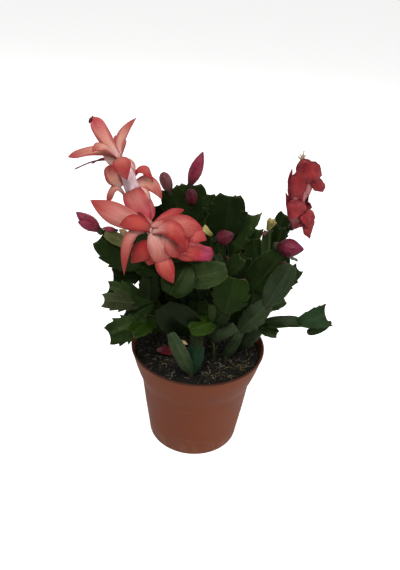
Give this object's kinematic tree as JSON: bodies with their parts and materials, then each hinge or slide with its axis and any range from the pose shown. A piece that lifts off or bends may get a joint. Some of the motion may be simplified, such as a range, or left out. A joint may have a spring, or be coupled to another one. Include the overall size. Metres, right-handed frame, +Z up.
{
  "type": "potted christmas cactus",
  "caption": "Flowering christmas cactus with flat toothed stem segments, pink and salmon blooms and buds, growing in soil in a round terracotta-coloured plastic pot.",
  "frame": {"origin": "centre of the underside of the pot", "axes": "+Z up along the pot's axis, -Y towards the side that shows both open blooms, +X to the right seen from there"},
  "size_m": [0.1881, 0.1304, 0.2641],
  "materials": {
    "terracotta_plastic": "satin",
    "potting_soil": "matte",
    "leaf": "satin",
    "petal": "satin",
    "wilted_petal": "satin",
    "dried_petal": "matte",
    "bud": "satin"
  },
  "bodies": {
    "root": {"pot": "terracotta_plastic", "soil": "potting_soil", "stem_front": "leaf", "stem_front_left": "leaf", "stem_front_right": "leaf", "stem_right_low": "leaf", "stem_right": "leaf", "stem_centre_right": "leaf", "stem_centre_left": "leaf", "stem_left_low": "leaf", "stem_left": "leaf", "stem_left_high": "leaf", "stem_back_right": "leaf", "stem_back": "leaf", "stem_back_left": "leaf", "bloom_upper": "petal", "bloom_lower": "petal", "bloom_wilted": "wilted_petal", "stamens_upper": "wilted_petal", "stamens_wilted": "dried_petal", "bud_top": "bud", "bud_top_small": "bud", "bud_facing": "bud", "bud_left": "bud", "bud_centre": "bud", "bud_right": "bud", "dried_flower_left": "dried_petal", "dried_flower_right": "dried_petal", "fallen_petal": "wilted_petal"}
  },
  "joints": []
}
